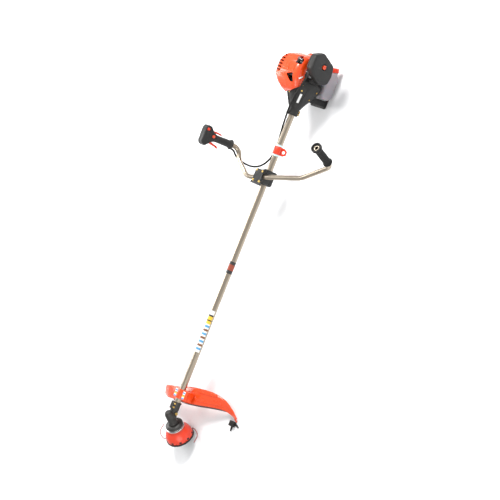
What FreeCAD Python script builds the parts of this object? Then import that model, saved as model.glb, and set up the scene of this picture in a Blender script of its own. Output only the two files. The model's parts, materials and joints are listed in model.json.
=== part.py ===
import FreeCAD, Part
import math
import os
from FreeCAD import Placement, Rotation, Vector

# Two-handed petrol string trimmer. +X runs along the shaft towards the cutting head,
# +Y is the operator's left, +Z is up. Pieces are drawn with z = 0 on the shaft axis and
# lifted by SHAFT_Z when they are written, so that the stand's foot lies on z = 0.

# ---- driving dimensions, millimetres and degrees ----
RUN = 0.08            # radial clearance of a running fit
GAP = 0.4             # air between pieces that pass or meet each other
TINY = 0.02           # overlap that lets two outlines fuse

TUBE_R = 14.0
TUBE_WALL = 1.6
TUBE_START = 84.0
TUBE_END = 1536.0
SHAFT_R = 4.0
BUSHING_COUNT = 6
BUSHING_LENGTH = 30.0

HEAD_X = 1578.0       # where the output axis crosses the shaft axis
HEAD_TILT = 35.0      # output axis, measured from straight down
PINION_TEETH = 11
GEAR_TEETH = 15
GEAR_NEAR = 14.1      # cone distances of the tooth ends
GEAR_FAR = 27.1
SPINDLE_R = 5.0
SPINDLE_END = 92.0
BEARING_R = 15.0
BOSS_R = 20.0
BOSS_TOP = 40.0
SLEEVE_R = 18.5
SLEEVE_START = 1502.0
DUST_CUP = (30.5, 39.0, 40.0)        # start, end, radius along the output axis
DRIVE_DISC = (41.5, 47.5, 39.0)
FLANGE = (48.5, 55.5, 41.0)
DOME_TOP = 56.5
DOME_END = 108.0
DOME_R = 62.0
DOME_WALL = 3.0
BASE_R = 64.0
BASE_END = 118.0
KNOB_R = 25.0
KNOB_END = 128.0
SPOOL_R = 43.0
SPOOL = (79.0, 104.0)
FEED_TRAVEL = 5.0
LINE_R = 1.75
LINE_PLANE = 95.0

BAR_R = 11.0
BAR_WALL = 1.5
BAR_Z = 38.0
CLAMP_X = 445.0
CLAMP = (60.0, 50.0)  # clamp length along the shaft and width across it
CLAMP_CAP = 19.0
SCREW_R = 3.0
GRIP_R = 17.0
GRIP_FLANGE_R = 23.5
GRIP_LENGTH = 118.0

HANDLE_LENGTH = 160.0
HANDLE_NECK = 17.0
HANDLE_HEAD = 45.0
HANDLE_DEPTH = 19.0
LEVER_WIDTH = 9.0
SLOT_SIDE = 0.8       # air on each side of a lever in its slot
PIN_R = 2.0
TRIGGER_SWING = 12.0
LOCKOUT_SWING = 7.0
CABLE_R = 4.2

LUG_X = 311.0
LUG_LENGTH = 36.0
LUG_PLATE = 6.0
LUG_HOLE_R = 7.0
LUG_HOLE_OUT = 29.0
LUG_TIP = 43.0
LUG_TILT = -30.0
SLEEVE_WALL = 2.0

CYL_X = -50.0
BORE_R = 19.0
STROKE = 26.0
CROWN_Z = 84.0
FIN_HALF = 35.0
FIN_COUNT = 8
CASE_HALF = 46.0
CASE = (-100.0, -14.0, -56.0, 34.0)  # crankcase rear, front, bottom, top
WEB_R = 20.0
JOURNAL_R = 8.0
FLYWHEEL = (-8.0, 13.0, 46.0)
DRUM = (16.0, 40.0, 38.0)
DRUM_WALL = 2.5
DRUM_BOSS = (62.0, 10.0)
HOUSING_WALL = 4.0
HOUSING_END = 143.0
COLLAR_R = 24.0
STARTER = (-140.0, -104.0, 60.0)
COVER_WALL = 3.0
FILTER_MID = (-83.0, 38.0)              # middle of the filter cover, x and z
FILTER_OUTLINE = [(-45, 69), (-68, 22), (-33, -61), (14, -69), (52, -61), (68, -18), (44, 34), (15, 67)]
FILTER_CORNER = 22.0
FILTER_AT = (-94.0, 36.0)              # axis of the filter knob, x and z
FILTER_Y = (82.0, 92.0, 117.0)       # back of the box, joint, face of the cover
KNOB_TURN_R = 10.0
TANK = (-98.0, 27.0, -65.0, 74.0)    # rear, front, right, left
TANK_Z = (-124.0, -56.0)
TANK_CORNER = 28.0
TANK_WALL = 2.6
CAP_R = 16.0
CAP_LENGTH = 24.0
FOOT = (-22.0, 62.0, 48.0)           # foot plate rear, front and half width
FOOT_PLATE = 5.0

# ---- values that follow ----
TILT = math.radians(HEAD_TILT)
SHAFT_Z = BASE_END * math.cos(TILT) + BASE_R * math.sin(TILT)
FLOOR = -SHAFT_Z
PINION_CONE = math.atan2(math.cos(TILT), GEAR_TEETH / PINION_TEETH + math.sin(TILT))
GEAR_CONE = math.pi / 2 - TILT - PINION_CONE
X_AXIS = Vector(1, 0, 0)
Y_AXIS = Vector(0, 1, 0)
Z_AXIS = Vector(0, 0, 1)
OUTPUT = Vector(math.sin(TILT), 0, -math.cos(TILT))
HEAD_FORWARD = Vector(math.cos(TILT), 0, math.sin(TILT))
HEAD = Placement(Vector(HEAD_X, 0, 0), Rotation(HEAD_FORWARD, Vector(0, -1, 0), OUTPUT, "ZXY"))

BAR_POINTS = [
    Vector(361.5, -213, 186), Vector(358, -184.5, 48), Vector(408, -160, 44), Vector(466, -81, BAR_Z),
    Vector(394, 238, BAR_Z), Vector(308, 402, 62), Vector(263, 421, 204),
]
BAR_BENDS = [36.0, 60.0, 60.0, 150.0, 40.0]
LINE_POINTS = [(46, -28.3), (58, -35.7), (52, -63), (38, -91), (16, -106), (-6, -112)]

# stations of the cover: x, right side, left side, top, corner radius
COVER_STATIONS = [
    (-140, -6, 40, 26, 10), (-129, -36, 44, 52, 18), (-108, -80, 50, 92, 25), (-85, -97, 52, 106, 28),
    (-50, -100, 52, 112, 28), (-12, -99, 50, 110, 28), (21, -84, 46, 95, 25), (46, -62, 36, 72, 20),
    (58, -42, 28, 54, 15),
]
# stations of the guard band: y, rear x, rear z, front x, front z
GUARD_STATIONS = [
    (-183, 1460, -74, 1502, -84), (-136, 1452, -56, 1508, -62), (-70, 1440, -45, 1500, -40),
    (-3, 1420, -40, 1495, -28), (60, 1408, -44, 1483, -46), (130, 1401, -55, 1466, -70),
    (190, 1409, -70, 1456, -95), (236, 1440, -97, 1466, -114), (255, 1466, -116, 1482, -124),
]
GUARD_WALL = 3.0
GUARD_RIM = 9.0

COVER_STEPS = 19
PLUG_OPENING = [(-101, 0), (-114, 22), (-93, 44), (-70, 44), (-69, 28), (-85, 12)]
FIN_WINDOW = [(-16, -17), (-27, 23), (12, 32), (13, 14)]

nodes = {}


# ---- drawing helpers ----
def box(x0, x1, y0, y1, z0, z1):
    return Part.makeBox(x1 - x0, y1 - y0, z1 - z0, Vector(x0, y0, z0))


def rod(start, end, radius):
    along = end - start
    return Part.makeCylinder(radius, along.Length, start, along)


def rod_x(x0, x1, radius, y=0.0, z=0.0):
    return Part.makeCylinder(radius, x1 - x0, Vector(x0, y, z), X_AXIS)


def ring_x(x0, x1, outer, inner):
    return rod_x(x0, x1, outer).cut(rod_x(x0 - 1, x1 + 1, inner))


def polygon(points):
    return Part.Face(Part.makePolygon(list(points) + [points[0]]))


def turned_x(outline):
    face = polygon([Vector(x, 0, r) for x, r in outline])
    return face.revolve(Vector(), X_AXIS, 360)


def turned_z(outline):
    face = polygon([Vector(r, 0, t) for r, t in outline])
    return face.revolve(Vector(), Z_AXIS, 360)


def fused(shapes):
    body = shapes[0]
    if len(shapes) > 1:
        body = body.multiFuse(shapes[1:])
    return body.removeSplitter()


def on_head(shape):
    shape.Placement = HEAD.multiply(shape.Placement)
    return shape


def head_point(forward, left, down):
    return HEAD.multVec(Vector(forward, -left, down))


def softened(shape, radius, wanted):
    """Round the edges that wanted(edge) picks."""
    edges = [edge for edge in shape.Edges if wanted(edge)]
    return shape.makeFillet(radius, edges)


def along(direction):
    def test(edge):
        if edge.Curve.TypeId != "Part::GeomLine":
            return False
        return abs(edge.Curve.Direction.dot(direction)) > 0.99
    return test


def across_y(edge):
    """Picks the edges that lie in a plane square to Y, rounded corners included."""
    return edge.BoundBox.YLength < 1e-6


def straight(edge):
    return edge.Curve.TypeId == "Part::GeomLine"


def bent_path(points, radii):
    """Straight runs joined by tangent arcs, one radius for each inner point."""
    edges = []
    start = points[0]
    for before, corner, after, radius in zip(points, points[1:], points[2:], radii):
        back = (before - corner).normalize()
        ahead = (after - corner).normalize()
        half = back.getAngle(ahead) / 2
        reach = radius / math.tan(half)
        middle = (back + ahead).normalize() * (radius / math.sin(half) - radius)
        enter = corner + back * reach
        leave = corner + ahead * reach
        edges.append(Part.LineSegment(start, enter).toShape())
        edges.append(Part.Arc(enter, corner + middle, leave).toShape())
        start = leave
    edges.append(Part.LineSegment(start, points[-1]).toShape())
    return Part.Wire(edges)


def cord_radii(points):
    """The largest even arc each corner allows: 0.45 of its shorter run."""
    radii = []
    for before, corner, after in zip(points, points[1:], points[2:]):
        back = before - corner
        ahead = after - corner
        turn = math.pi - back.getAngle(ahead)
        radii.append(0.45 * min(back.Length, ahead.Length) / math.tan(turn / 2))
    return radii


def swept(path, radius):
    first = path.Edges[0]
    heading = first.tangentAt(first.FirstParameter)
    section = Part.Wire(Part.makeCircle(radius, first.valueAt(first.FirstParameter), heading))
    return path.makePipeShell([section], True, False)


def cord(name, points, radius):
    radii = cord_radii(points)
    path = bent_path(points, radii)
    solid = swept(path, radius)
    exact = math.pi * radius ** 2 * path.Length
    print(name, "length", round(path.Length, 1), "volume ratio", round(solid.Volume / exact, 4))
    print("   arc radii", [round(value, 1) for value in radii])
    return solid


def rounded_wire(x, y0, y1, z0, z1, radius):
    """An upright rounded rectangle at x: four lines and four arcs."""
    corners = [(y0, z0, 225), (y1, z0, 315), (y1, z1, 45), (y0, z1, 135)]
    ends = []
    edges = []
    for y, z, angle in corners:
        centre = Vector(x, y + (radius if y == y0 else -radius), z + (radius if z == z0 else -radius))
        spots = []
        for step in (-45, 0, 45):
            turn = math.radians(angle + step)
            spots.append(centre + Vector(0, math.cos(turn), math.sin(turn)) * radius)
        ends.append(spots)
    for index, spots in enumerate(ends):
        edges.append(Part.Arc(*spots).toShape())
        edges.append(Part.LineSegment(spots[2], ends[(index + 1) % 4][0]).toShape())
    return Part.Wire(edges)


def eased(stations, count):
    """Even stations read off a smooth curve through the given ones, without overshoot."""
    first, last = stations[0][0], stations[-1][0]
    slopes = []
    for index, here in enumerate(stations):
        before = stations[max(index - 1, 0)]
        after = stations[min(index + 1, len(stations) - 1)]
        row = []
        for column in range(1, len(here)):
            left = (here[column] - before[column]) / ((here[0] - before[0]) or 1.0)
            right = (after[column] - here[column]) / ((after[0] - here[0]) or 1.0)
            ends = index in (0, len(stations) - 1)
            row.append((left + right) if ends else (2 * left * right / (left + right) if left * right > 0 else 0.0))
        slopes.append(row)
    result = []
    for step in range(count):
        at = first + (last - first) * step / (count - 1)
        index = max(i for i in range(len(stations) - 1) if stations[i][0] <= at + 1e-9)
        low, high = stations[index], stations[index + 1]
        span = high[0] - low[0]
        t = (at - low[0]) / span
        row = [at]
        for column in range(1, len(low)):
            rise = (2 * t ** 3 - 3 * t ** 2 + 1) * low[column] + (3 * t ** 2 - 2 * t ** 3) * high[column]
            lean = (t ** 3 - 2 * t ** 2 + t) * slopes[index][column - 1]
            lean += (t ** 3 - t ** 2) * slopes[index + 1][column - 1]
            row.append(rise + lean * span)
        result.append(tuple(row))
    return result


def placed(shape, origin, x_dir, z_dir):
    y_dir = z_dir.cross(x_dir)
    shape.Placement = Placement(origin, Rotation(x_dir, y_dir, z_dir, "ZXY")).multiply(shape.Placement)
    return shape


def cap_screw(tip, outward, length, radius=SCREW_R, head=None):
    """Where a socket-head screw goes: its shank starts at tip, its head is at the outer end."""
    return tip, outward, length, radius, head or radius * 1.7


def screw_room(screw):
    tip, outward, length, radius, head = screw
    shank = rod(tip, tip + outward * length, radius)
    return shank.fuse(rod(tip + outward * length, tip + outward * (length + radius * 1.8), head))


def screw_solid(screw):
    tip, outward, length, radius, head = screw
    floor = tip + outward * (length + radius * 0.7)
    return screw_room(screw).cut(rod(floor, floor + outward * radius * 2, radius * 0.85))


def bored(solid, screws):
    """Cut the holes that the screws' shanks and heads fill."""
    for screw in screws:
        solid = solid.cut(screw_room(screw))
    return solid


# ---- shaft ----
def shaft_tube():
    return ring_x(TUBE_START, TUBE_END, TUBE_R, TUBE_R - TUBE_WALL)


def shaft_bushings():
    first = LUG_X - 110
    step = (TUBE_END - 90 - first) / (BUSHING_COUNT - 1)
    rings = []
    for index in range(BUSHING_COUNT):
        x = first + index * step
        rings.append(ring_x(x, x + BUSHING_LENGTH, TUBE_R - TUBE_WALL, SHAFT_R + RUN))
    return Part.makeCompound(rings)


PINION_HEEL = HEAD_X - GEAR_FAR * math.cos(PINION_CONE)
PINION_TOE = HEAD_X - GEAR_NEAR * math.cos(PINION_CONE)
PINION_SHANK = TUBE_END + 2.0
SHANK_R = 6.0


def drive_shaft():
    return rod_x(DRUM_BOSS[0] - 18, PINION_SHANK + 8, SHAFT_R)


# ---- gearbox and cutting head, drawn along the output axis ----
def bevel_teeth(teeth, angle):
    """Straight teeth cut into a cone whose tip is at the origin, opening along +Z."""
    near = GEAR_NEAR
    far = GEAR_FAR
    play = 0.35
    groove_r = 22.0 / teeth
    blank = turned_z([(0, near * math.cos(angle)), (near * math.sin(angle) - play, near * math.cos(angle)),
                      (far * math.sin(angle) - play, far * math.cos(angle)), (0, far * math.cos(angle))])
    for index in range(teeth):
        groove = Part.makeCone(groove_r * near / far, groove_r, far * 1.5, Vector(), Z_AXIS)
        groove.rotate(Vector(), Y_AXIS, math.degrees(angle))
        groove.rotate(Vector(), Z_AXIS, 360.0 * index / teeth)
        blank = blank.cut(groove)
    return blank


def bevel_pinion():
    teeth = bevel_teeth(PINION_TEETH, PINION_CONE)
    teeth.rotate(Vector(), Y_AXIS, -90)
    teeth.translate(Vector(HEAD_X, 0, 0))
    shank = rod_x(PINION_SHANK, PINION_HEEL + TINY, SHANK_R)
    pinion = teeth.fuse(shank)
    return pinion.cut(rod_x(PINION_SHANK - 1, PINION_SHANK + 8, SHAFT_R))


GEAR_HEEL = -GEAR_FAR * math.cos(GEAR_CONE)
GEAR_HUB = GEAR_HEEL - 4.0
TOP_BEARING = (GEAR_HUB - 8.0, GEAR_HUB - 0.5)
LOW_BEARING = (12.0, 24.0)


def bevel_gear():
    teeth = bevel_teeth(GEAR_TEETH, GEAR_CONE)
    teeth.rotate(Vector(), X_AXIS, 180)
    hub = Part.makeCylinder(10, GEAR_HEEL - GEAR_HUB + TINY, Vector(0, 0, GEAR_HUB))
    gear = teeth.fuse(hub)
    return on_head(gear.cut(Part.makeCylinder(SPINDLE_R, 60, Vector(0, 0, -50))))


def output_spindle():
    start = TOP_BEARING[0] + 0.5
    outline = [(0, start), (SPINDLE_R, start), (SPINDLE_R, 6), (8, 7), (8, LOW_BEARING[0]),
               (SHANK_R, LOW_BEARING[0]), (SHANK_R, DUST_CUP[1]), (SPINDLE_R, DUST_CUP[1] + 1),
               (SPINDLE_R, SPINDLE_END - 20), (0, SPINDLE_END - 20)]
    return on_head(turned_z(outline))


def gearbox_bearings():
    low = turned_z([(SHANK_R + RUN, LOW_BEARING[0]), (BEARING_R, LOW_BEARING[0]),
                    (BEARING_R, LOW_BEARING[1]), (SHANK_R + RUN, LOW_BEARING[1])])
    top = turned_z([(SPINDLE_R + RUN, TOP_BEARING[0]), (10, TOP_BEARING[0]), (10, TOP_BEARING[1]),
                    (SPINDLE_R + RUN, TOP_BEARING[1])])
    shank = ring_x(PINION_SHANK + 1, PINION_HEEL - 1.5, 13, SHANK_R + RUN)
    return Part.makeCompound([on_head(low), on_head(top), shank])


def gearbox_screw_list():
    clamp = []
    for x in (SLEEVE_START + 9, SLEEVE_START + 25):
        clamp.append(cap_screw(Vector(x, -6, SLEEVE_R + 3.5), Y_AXIS, 16, 2.5))
    plug = cap_screw(Vector(HEAD_X - 27, BOSS_R - 6, 2), Y_AXIS, 5, 4.0, 6.0)
    return clamp + [plug]


def gearbox_housing():
    sleeve = rod_x(SLEEVE_START, HEAD_X - 20, SLEEVE_R)
    collar = rod_x(SLEEVE_START, SLEEVE_START + 6, SLEEVE_R + 2)
    ears = box(SLEEVE_START, SLEEVE_START + 34, -9, 9, 10, SLEEVE_R + 8)
    ears = softened(ears, 4, along(Y_AXIS))
    boss = turned_z([(0, -BOSS_TOP), (12, -BOSS_TOP), (16, -BOSS_TOP + 4), (BOSS_R, -BOSS_TOP + 14),
                     (BOSS_R, 20), (BOSS_R + 3, 24), (BOSS_R + 3, DUST_CUP[0]), (0, DUST_CUP[0])])
    swell = Part.makeSphere(23.5, Vector(HEAD_X - 9, 0, 3))
    body = sleeve.fuse(collar).fuse(ears).fuse(on_head(boss)).fuse(swell)
    body = body.cut(rod_x(SLEEVE_START - 1, TUBE_END, TUBE_R))
    body = body.cut(rod_x(TUBE_END - 1, PINION_HEEL - 1, 13))
    body = body.cut(rod_x(PINION_HEEL - 2, HEAD_X, 12))
    room = turned_z([(0, TOP_BEARING[0] - 1), (10, TOP_BEARING[0] - 1), (10, TOP_BEARING[1]),
                     (16.2, TOP_BEARING[1] + 0.2), (16.2, LOW_BEARING[0]), (BEARING_R, LOW_BEARING[0]),
                     (BEARING_R, DUST_CUP[0] + 1), (0, DUST_CUP[0] + 1)])
    body = body.cut(on_head(room))
    slit = box(SLEEVE_START - 1, SLEEVE_START + 34, -0.8, 0.8, TUBE_R - 2, SLEEVE_R + 20)
    return bored(body.cut(slit), gearbox_screw_list())


def dust_cup():
    start, end, radius = DUST_CUP
    outline = [(SHANK_R + GAP, start), (radius - 9, start), (radius, end - 3), (radius, end + 5),
               (radius - 2, end + 5), (radius - 2, end - 1.6), (radius - 10, start + 3),
               (SHANK_R + GAP, start + 3)]
    return on_head(turned_z(outline))


def disc(span):
    start, end, radius = span
    outline = [(SPINDLE_R, start), (radius - 3.6, start), (radius - 3.6, start + 1.5), (radius, start + 2.5),
               (radius, end), (SPINDLE_R, end)]
    return on_head(turned_z(outline))


def drive_disc():
    start, end, radius = DRIVE_DISC
    hub = Part.makeCylinder(radius - 2.6, end - start, Vector(0, 0, start))
    return on_head(hub.cut(Part.makeCylinder(SPINDLE_R, 90, Vector())))


def dome_radius(t):
    """Outer radius of the dome: a quarter-ellipse shoulder that ends in a short skirt."""
    share = min(1.0, (t - DOME_TOP) / (DOME_END - DOME_TOP - 6))
    return 37.0 + (DOME_R - 37.0) * math.sin(share * math.pi / 2) ** 0.85


DOME_STEPS = [DOME_TOP + (DOME_END - DOME_TOP) * step / 8 for step in range(9)]
EYELET_ANGLE = math.atan2(LINE_POINTS[0][1], LINE_POINTS[0][0])


def eyelet_axis(sign, start, end, radius):
    out = Vector(math.cos(EYELET_ANGLE), -math.sin(EYELET_ANGLE), 0) * sign
    base = Vector(0, 0, LINE_PLANE)
    return rod(base + out * start, base + out * end, radius)


def head_housing():
    outer = [(dome_radius(t), t) for t in DOME_STEPS]
    inner = [(dome_radius(t) - DOME_WALL, t) for t in DOME_STEPS[1:]]
    shell = [(SPINDLE_R, DOME_TOP), *outer, *reversed(inner), (SPINDLE_R, DOME_STEPS[1] + 1)]
    dome = turned_z(shell)
    boss = turned_z([(SPINDLE_R, DOME_STEPS[1] - 2), (12, DOME_STEPS[1] - 2), (11, 72), (SPINDLE_R, 72)])
    dome = dome.fuse(boss)
    for index in range(8):
        notch = Part.makeCylinder(3.2, 14, Vector(DOME_R + 1.4, 0, DOME_END - 11))
        notch.rotate(Vector(), Z_AXIS, 45 * index + 12)
        dome = dome.cut(notch)
    for sign in (-1, 1):
        dome = dome.cut(eyelet_axis(sign, 45, 70, 4.0))
    return on_head(dome)


def head_base():
    hole = KNOB_R + 1.2
    outline = [(hole, DOME_END + 4), (hole, BASE_END - 2), (hole + 4, BASE_END), (BASE_R - 2, BASE_END),
               (BASE_R, BASE_END - 2), (BASE_R, DOME_END), (DOME_R - DOME_WALL - 4, DOME_END),
               (DOME_R - DOME_WALL - 6, DOME_END + 4)]
    base = turned_z(outline)
    for index in range(12):
        slot = Part.makeCylinder(2.4, 20, Vector(BASE_R + 1.0, 0, DOME_END - 2))
        slot.rotate(Vector(), Z_AXIS, 30 * index)
        base = base.cut(slot)
    return on_head(base)


def line_spool():
    start, end = SPOOL
    core = KNOB_R - 4
    outline = [(core - 3, start), (SPOOL_R, start), (SPOOL_R, start + 2), (core, start + 2),
               (core, end - 2.5), (SPOOL_R, end - 2.5), (SPOOL_R, end), (core - 3, end)]
    return on_head(turned_z(outline))


def wound_line():
    """The coiled line on the spool: layers of rounded turns."""
    inner = KNOB_R - 4
    start = SPOOL[0] + 2
    turns = 6
    pitch = (SPOOL[1] - 2.5 - start) / turns
    outline = [(inner, start)]
    for index in range(turns):
        low = start + pitch * index
        outline += [(37.2, low), (38.6, low + pitch * 0.3), (38.6, low + pitch * 0.7)]
    outline += [(37.2, start + pitch * turns), (inner, start + pitch * turns)]
    return on_head(turned_z(outline))


def bump_knob():
    core = KNOB_R - 4
    outline = [(0, SPOOL[1] - 4), (core - 3, SPOOL[1] - 4), (core - 3, SPOOL[1]), (KNOB_R, SPOOL[1]),
               (KNOB_R, KNOB_END - 7), (KNOB_R - 3, KNOB_END - 2), (KNOB_R - 9, KNOB_END), (0, KNOB_END)]
    return on_head(turned_z(outline))


def feed_spring():
    """Flat stand-in tube of the feed spring between the housing's boss and the knob."""
    ring = turned_z([(12.5, 69), (15.5, 69), (15.5, SPOOL[1] - 4), (12.5, SPOOL[1] - 4)])
    return on_head(ring)


def line_eyelets():
    rings = []
    for sign in (-1, 1):
        tube = eyelet_axis(sign, 53.5, dome_radius(LINE_PLANE) + 1.0, 4.0)
        rings.append(on_head(tube.cut(eyelet_axis(sign, 40, 80, LINE_R))))
    return Part.makeCompound(rings)


def trimmer_line(name, sign):
    points = [head_point(sign * a, sign * b, LINE_PLANE) for a, b in LINE_POINTS]
    return cord(name, points, LINE_R)


# ---- guard ----
def guard_section(y, rear_x, rear_z, front_x, front_z):
    wall = GUARD_WALL
    rim = GUARD_RIM
    outline = [(rear_x, rear_z - rim), (rear_x, rear_z - 3), (rear_x + 4, rear_z), (front_x - 4, front_z),
               (front_x, front_z - 3), (front_x, front_z - rim), (front_x - wall, front_z - rim),
               (front_x - wall - 2, front_z - wall - 1.5), (rear_x + wall + 2, rear_z - wall - 1.5),
               (rear_x + wall, rear_z - rim)]
    return Part.makePolygon([Vector(x, y, z) for x, z in outline + outline[:1]])


def guard():
    sections = [guard_section(*station) for station in eased(GUARD_STATIONS, 25)]
    return Part.makeLoft(sections, True, True)


def guard_skirt():
    """Soft inner skirt that hangs under the front edge, inside the rim."""
    wires = []
    for y, rear_x, rear_z, front_x, front_z in eased(GUARD_STATIONS, 25)[4:-2]:
        x = front_x - GUARD_WALL - 5
        top = front_z - GUARD_WALL - 4
        low = max(top - 26, FLOOR + 3)
        outline = [(x, top), (x + 2.5, top), (x + 12, low), (x + 9.5, low)]
        wires.append(Part.makePolygon([Vector(a, y, b) for a, b in outline + outline[:1]]))
    return Part.makeLoft(wires, True, True)


def line_cutter_blade():
    """Cutter block before the left tip, with one prong forward and one outward."""
    y, rear_x, rear_z, front_x, front_z = GUARD_STATIONS[-1]
    start = front_x + 0.3
    low = FLOOR + 1
    block = box(start, start + 24, y - 28, y - 1, low, front_z + 8)
    forward = polygon([Vector(start + 23, y - 20, low), Vector(start + 23, y - 11, low),
                       Vector(start + 44, y - 13, low), Vector(start + 46, y - 17, low)])
    outward = polygon([Vector(start + 4, y - 2, low), Vector(start + 14, y - 2, low),
                       Vector(start + 19, y + 22, low), Vector(start + 14, y + 23, low)])
    return fused([block, forward.extrude(Vector(0, 0, 5)), outward.extrude(Vector(0, 0, 5))])


BRACKET = (1442.0, 1484.0)
BRACKET_HALF = 48.0


def guard_screw_list():
    screws = []
    for y in (8 - BRACKET_HALF, BRACKET_HALF - 8):
        for x in (BRACKET[0] + 9, BRACKET[1] - 9):
            screws.append(cap_screw(Vector(x, y, -26), Z_AXIS, 23))
    return screws


def guard_top(station, x):
    y, rear_x, rear_z, front_x, front_z = station
    return rear_z + (front_z - rear_z) * (x - rear_x) / (front_x - rear_x)


def guard_bracket():
    """Two half clamps under and over the tube, which the guard hangs from."""
    x0, x1 = BRACKET
    crown = max(GUARD_STATIONS, key=lambda station: station[4])
    half_width = BRACKET_HALF
    outline = [Vector(x, -half_width, guard_top(crown, x) + 3 * GAP) for x in BRACKET]
    outline += [Vector(x1, -half_width, -1), Vector(x0, -half_width, -1)]
    low = polygon(outline).extrude(Vector(0, 2 * half_width, 0))
    high = box(x0, x1, -half_width, half_width, 1, 7)
    high = high.fuse(rod_x(x0, x1, TUBE_R + 3).common(box(x0, x1, -30, 30, 1, 40)))
    halves = []
    for half in (low, high.removeSplitter()):
        half = half.cut(rod_x(x0 - 1, x1 + 1, TUBE_R))
        halves.append(bored(half, guard_screw_list()))
    return Part.makeCompound(halves)


# ---- handlebar and its clamp ----
BAR_DIR = (BAR_POINTS[4] - BAR_POINTS[3]).normalize()
BAR_SHARE = (CLAMP_X - BAR_POINTS[3].x) / (BAR_POINTS[4].x - BAR_POINTS[3].x)
BAR_OVER = BAR_POINTS[3] + (BAR_POINTS[4] - BAR_POINTS[3]) * BAR_SHARE
CLAMP_MID = Vector(CLAMP_X, 0, 0)
GRIP_AXIS = (BAR_POINTS[6] - BAR_POINTS[5]).normalize()
GRIP_END = BAR_POINTS[6]
GRIP_START = GRIP_END - GRIP_AXIS * GRIP_LENGTH


def handlebar():
    path = bent_path(BAR_POINTS, BAR_BENDS)
    return swept(path, BAR_R).cut(swept(path, BAR_R - BAR_WALL))


def clamp_plan(z0, z1, spare=0.0):
    """Clamp block seen from above: a rectangle with two pointed corners on one diagonal."""
    a = CLAMP[0] / 2 - spare
    b = CLAMP[1] / 2 - spare
    outline = [(-a, -b + 8), (-a + 8, -b), (a - 6, -b), (a + 8, -b - 7), (a, -b + 12), (a, b - 8),
               (a - 8, b), (-a + 6, b), (-a - 8, b + 7), (-a, b - 12)]
    face = polygon([CLAMP_MID + Vector(x, y, z0) for x, y in outline])
    return face.extrude(Vector(0, 0, z1 - z0))


def bar_here(radius):
    return rod(BAR_OVER - BAR_DIR * 80, BAR_OVER + BAR_DIR * 80, radius)


def clamp_screw_list():
    screws = []
    for dx in (-23, 23):
        for dy in (-19, 19):
            tip = CLAMP_MID + Vector(dx, dy, -TUBE_R - 4)
            screws.append(cap_screw(tip, Z_AXIS, BAR_Z + CLAMP_CAP + TUBE_R - 1))
    return screws


def clamp_part(z0, z1):
    block = clamp_plan(z0, z1)
    block = block.cut(rod_x(CLAMP_X - 90, CLAMP_X + 90, TUBE_R)).cut(bar_here(BAR_R))
    return bored(block, clamp_screw_list())


def clamp_middle():
    return clamp_part(0.5, BAR_Z - 0.5)


def clamp_caps():
    low = clamp_part(-TUBE_R - 7, -0.5)
    high = clamp_part(BAR_Z + 0.5, BAR_Z + CLAMP_CAP)
    return Part.makeCompound([low, high])


def left_grip():
    """Rubber grip pushed over the bar: flange, waist with ribs, flared end ring."""
    end = GRIP_LENGTH + 6
    outline = [(BAR_R, 0), (GRIP_FLANGE_R - 3, 0), (GRIP_FLANGE_R - 2, 5), (GRIP_R, 9)]
    z = 14.0
    while z < GRIP_LENGTH - 26:
        outline += [(GRIP_R, z), (GRIP_R - 1.2, z + 1), (GRIP_R - 1.2, z + 3), (GRIP_R, z + 4)]
        z += 11.0
    outline += [(GRIP_R, GRIP_LENGTH - 14), (GRIP_FLANGE_R, GRIP_LENGTH - 5), (GRIP_FLANGE_R, end),
                (GRIP_FLANGE_R - 5, end), (GRIP_FLANGE_R - 8, end - 6), (BAR_R, end - 6)]
    return placed(turned_z(outline), GRIP_START, X_AXIS.cross(GRIP_AXIS).normalize(), GRIP_AXIS)


# ---- throttle handle: drawn upright, bar axis on z, forward on x, left on y ----
HANDLE_AXIS = (BAR_POINTS[0] - BAR_POINTS[1]).normalize()
HANDLE_BASE = BAR_POINTS[0] - HANDLE_AXIS * 96
BAR_IN_HANDLE = 96.0
PIVOT_Z = 119.0
TRIGGER_PIVOT_X = 17.0
LOCKOUT_PIVOT_X = -17.0
STOP_AT = (-27.0, 145.0)
START_AT = (-4.0, 109.0)
SWITCH_TRAVEL = 3.0
HANDLE_X = (X_AXIS - HANDLE_AXIS * X_AXIS.dot(HANDLE_AXIS)).normalize()
HANDLE_SIDE = HANDLE_AXIS.cross(HANDLE_X)


def on_handle(shape):
    return placed(shape, HANDLE_BASE, HANDLE_X, HANDLE_AXIS)


def handle_point(x, y, z):
    return HANDLE_BASE + HANDLE_X * x + HANDLE_SIDE * y + HANDLE_AXIS * z


def handle_shell():
    """The grip and its switch head, before it is split and hollowed."""
    neck = HANDLE_NECK
    wide = HANDLE_HEAD
    grip = turned_z([(0, 0), (neck + 5, 0), (neck + 6, 4), (neck, 14), (neck, 120), (0, 120)])
    outline = [(-neck, 96), (neck, 96), (neck + 6, 112), (wide - 8, 126), (wide, 134), (wide + 2, 143),
               (wide - 3, 154), (wide - 14, HANDLE_LENGTH), (-wide + 14, HANDLE_LENGTH), (-wide + 2, 153),
               (-wide, 144), (-wide + 2, 132), (-wide + 10, 124), (-neck - 6, 112)]
    face = polygon([Vector(x, -HANDLE_DEPTH, z) for x, z in outline])
    head = face.extrude(Vector(0, 2 * HANDLE_DEPTH, 0))
    return grip.fuse(softened(head, 5.0, lambda edge: not along(Y_AXIS)(edge)))


def lever_slot(x0, x1, z0, z1):
    half = LEVER_WIDTH / 2 + SLOT_SIDE
    return box(x0, x1, -half, half, z0, z1)


def stop_recess(spare):
    x, z = STOP_AT
    y0 = HANDLE_DEPTH - 5
    slot = box(x - 7 - spare, x + 7 + spare, y0 - spare, HANDLE_DEPTH + 1, z - 9, z + 9)
    return slot


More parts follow.
